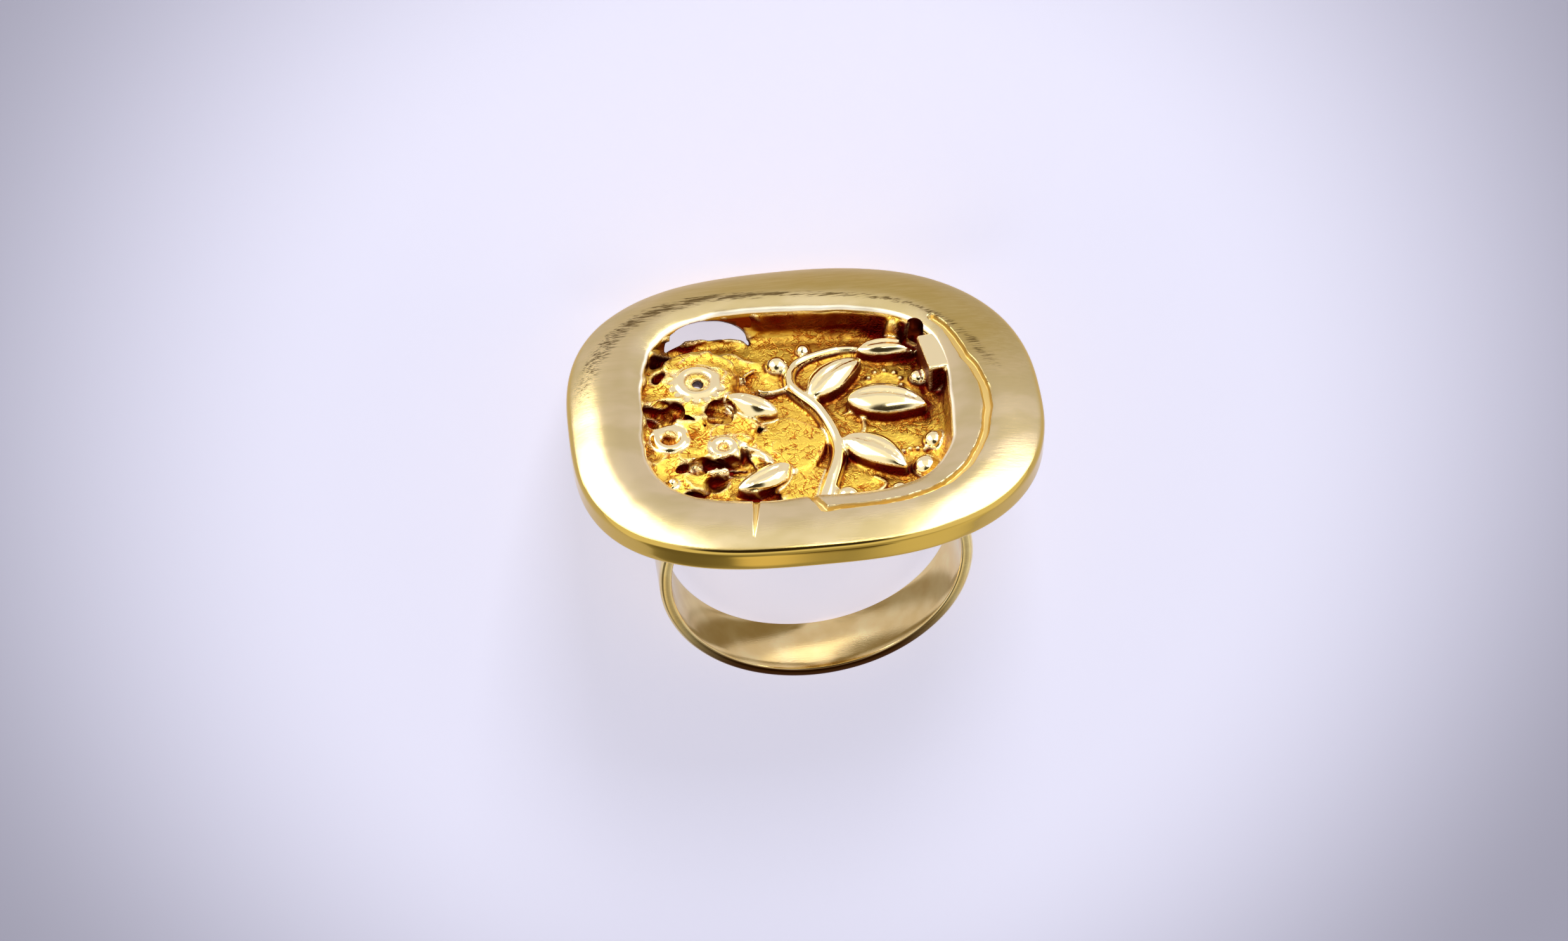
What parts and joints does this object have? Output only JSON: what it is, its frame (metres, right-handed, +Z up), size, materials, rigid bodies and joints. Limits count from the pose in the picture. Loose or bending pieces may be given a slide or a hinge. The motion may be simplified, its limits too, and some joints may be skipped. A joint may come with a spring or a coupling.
{
  "type": "finger ring",
  "caption": "Wide cast finger ring: a domed oval plate with a sunk, pierced window of leaf relief, on a plain round band.",
  "frame": {"origin": "on the surface that the ring lies on, under the middle of its box", "axes": "+X along the plate, +Z up, -Y to the side that the plate's face leans to; the ring rests on the plate's back edge and the band's back edge"},
  "size_m": [0.0275, 0.025, 0.0212],
  "materials": {
    "gold": "satin-brushed rim, polished wall and band, matte yellow cast floor with polished relief"
  },
  "bodies": {
    "root": {"ring": "gold"}
  },
  "joints": []
}
